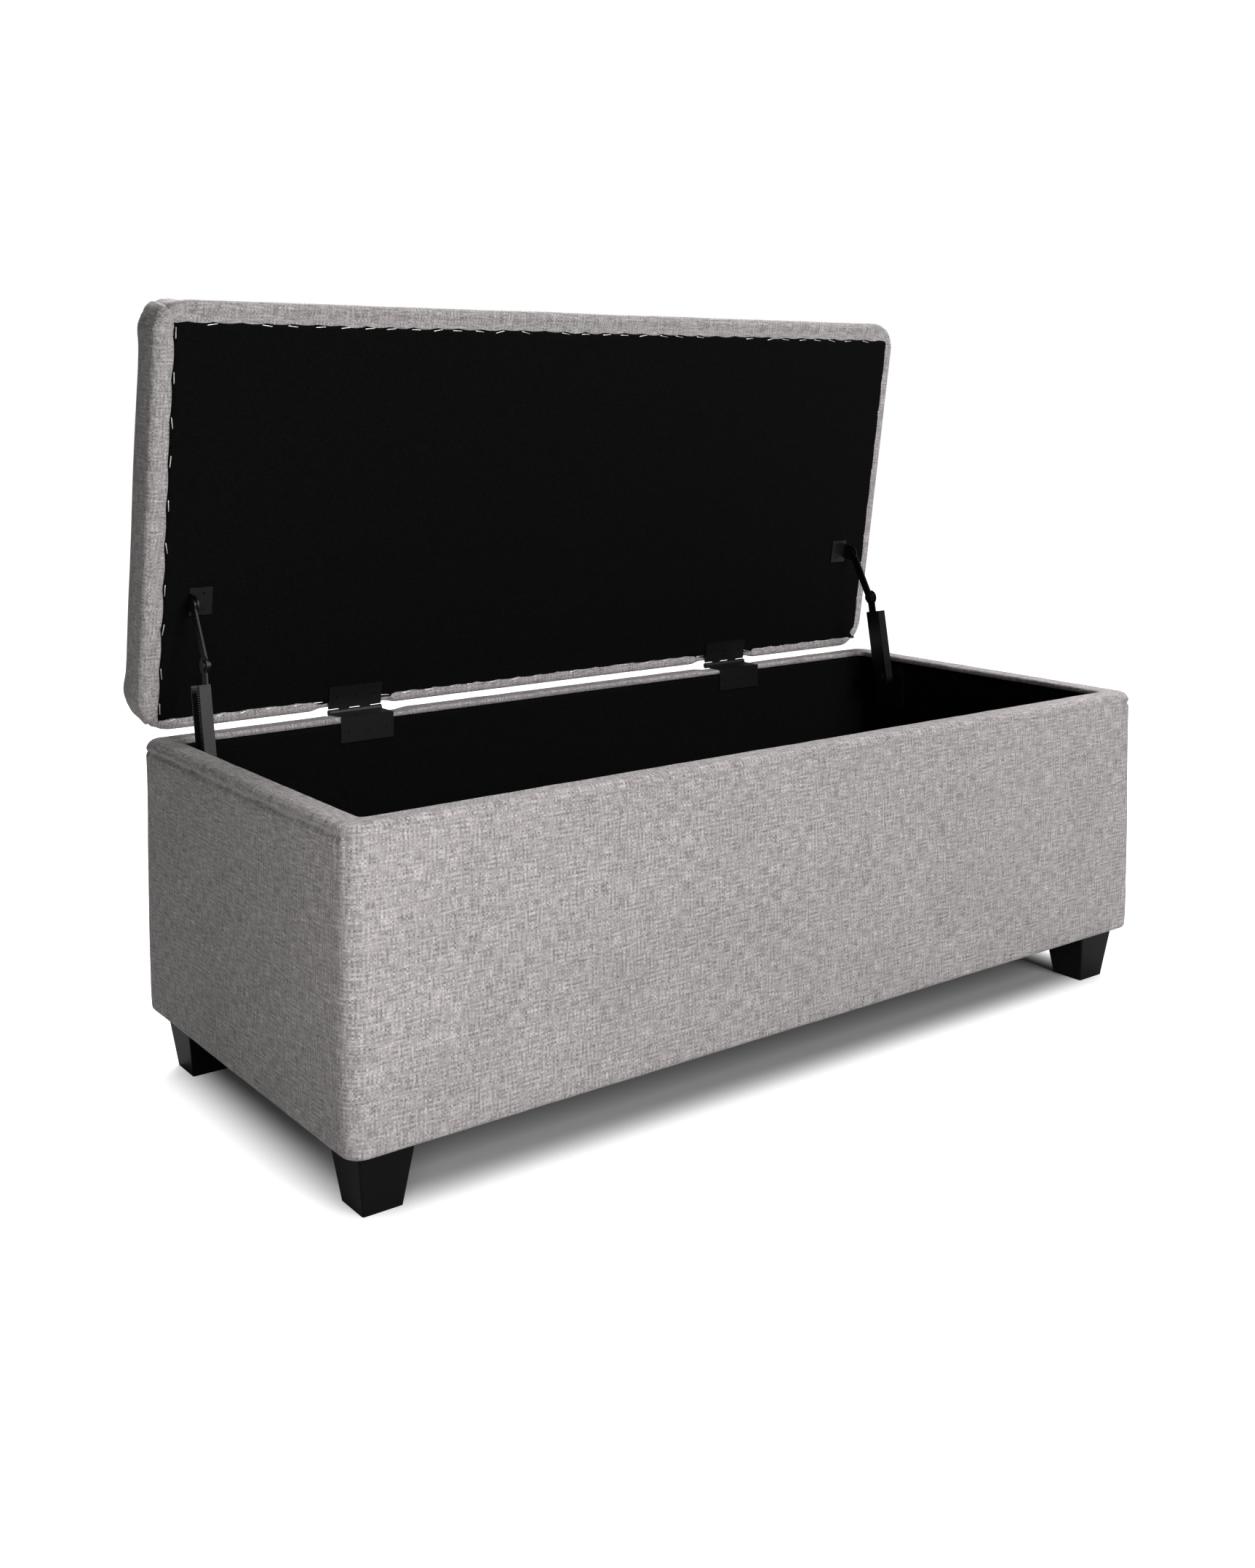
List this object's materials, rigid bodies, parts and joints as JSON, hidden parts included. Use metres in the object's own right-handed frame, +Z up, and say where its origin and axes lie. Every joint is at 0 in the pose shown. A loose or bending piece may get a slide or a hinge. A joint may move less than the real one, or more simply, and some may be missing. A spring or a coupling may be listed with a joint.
{
  "type": "storage bench",
  "caption": "Upholstered storage bench: a padded oblong box on short tapered feet, with a padded seat lid that lifts on back hinges and is held open by folding stays.",
  "frame": {"origin": "on the floor, under the middle of the whole bench with its lid open", "axes": "+X along the bench to the right seen from the front, +Y towards the back where the lid is hinged, +Z up"},
  "size_m": [0.98, 0.484, 0.7481],
  "materials": {
    "linen": "warm grey plain linen-look weave with slubs",
    "black_cloth": "black non-woven lining cloth",
    "foam": "cream upholstery foam",
    "board": "raw particle board",
    "timber": "raw softwood",
    "foot_black": "black satin moulded plastic",
    "zinc": "zinc plated steel",
    "staple_wire": "bright galvanised wire",
    "spring_wire": "oiled spring steel",
    "black_steel": "black powder-coated steel"
  },
  "bodies": {
    "base": {"back_padding": "foam", "back_panel": "board", "base_board": "board", "base_rail_back": "timber", "base_rail_front": "timber", "body_cover": "linen", "bottom_cloth": "black_cloth", "bottom_staples": "staple_wire", "foot_back_left": "foot_black", "foot_back_right": "foot_black", "foot_block_back_left": "timber", "foot_block_back_right": "timber", "foot_block_front_left": "timber", "foot_block_front_right": "timber", "foot_bolts": "zinc", "foot_front_left": "foot_black", "foot_front_right": "foot_black", "foot_tee_nuts": "zinc", "front_padding": "foam", "front_panel": "board", "hinge_body_screws": "black_steel", "left_hinge_body_leaf": "black_steel", "left_hinge_pin": "black_steel", "left_padding": "foam", "left_panel": "board", "left_stay_wall_bracket": "black_steel", "left_stay_wall_rivet": "black_steel", "panel_screws": "zinc", "right_hinge_body_leaf": "black_steel", "right_hinge_pin": "black_steel", "right_padding": "foam", "right_panel": "board", "right_stay_wall_bracket": "black_steel", "right_stay_wall_rivet": "black_steel", "stay_wall_screws": "black_steel", "storage_lining": "black_cloth"},
    "lid": {"lid_cover": "linen", "lid_board": "board", "lid_foam": "foam", "lid_cloth": "black_cloth", "lid_staples": "staple_wire", "hinge_lid_screws": "black_steel", "left_hinge_lid_leaf": "black_steel", "right_hinge_lid_leaf": "black_steel", "left_stay_lid_bracket": "black_steel", "right_stay_lid_bracket": "black_steel", "stay_lid_screws": "black_steel", "stay_lid_rivets": "black_steel"},
    "left_lower_arm": {"left_stay_lower_arm": "black_steel", "left_stay_spring": "spring_wire", "left_stay_elbow_rivet": "black_steel"},
    "left_upper_arm": {"left_stay_upper_arm": "black_steel"},
    "right_lower_arm": {"right_stay_lower_arm": "black_steel", "right_stay_spring": "spring_wire", "right_stay_elbow_rivet": "black_steel"},
    "right_upper_arm": {"right_stay_upper_arm": "black_steel"}
  },
  "joints": [
    {"name": "lid_hinge", "type": "hinge", "parent": "base", "child": "lid", "pos_m": [0, 0.18216, 0.3211], "axis": [1, 0, 0], "range_deg": [0, 81.5]},
    {"name": "left_stay_wall_pivot", "type": "hinge", "parent": "base", "child": "left_lower_arm", "pos_m": [-0.4535, 0.10297, 0.2949], "axis": [1, 0, 0], "range_deg": [0, 117.09]},
    {"name": "left_stay_elbow", "type": "hinge", "parent": "left_lower_arm", "child": "left_upper_arm", "pos_m": [-0.4535, 0.12097, 0.395], "axis": [1, 0, 0], "range_deg": [-133.39, 0]},
    {"name": "right_stay_wall_pivot", "type": "hinge", "parent": "base", "child": "right_lower_arm", "pos_m": [0.4535, 0.10297, 0.2949], "axis": [1, 0, 0], "range_deg": [0, 117.09]},
    {"name": "right_stay_elbow", "type": "hinge", "parent": "right_lower_arm", "child": "right_upper_arm", "pos_m": [0.4535, 0.12097, 0.395], "axis": [1, 0, 0], "range_deg": [-133.39, 0]}
  ],
  "couplings": [
    {"joint": "left_stay_wall_pivot", "follows": "lid_hinge", "ratio": 1.4365},
    {"joint": "left_stay_elbow", "follows": "lid_hinge", "ratio": -1.6365},
    {"joint": "right_stay_wall_pivot", "follows": "lid_hinge", "ratio": 1.4365},
    {"joint": "right_stay_elbow", "follows": "lid_hinge", "ratio": -1.6365}
  ]
}
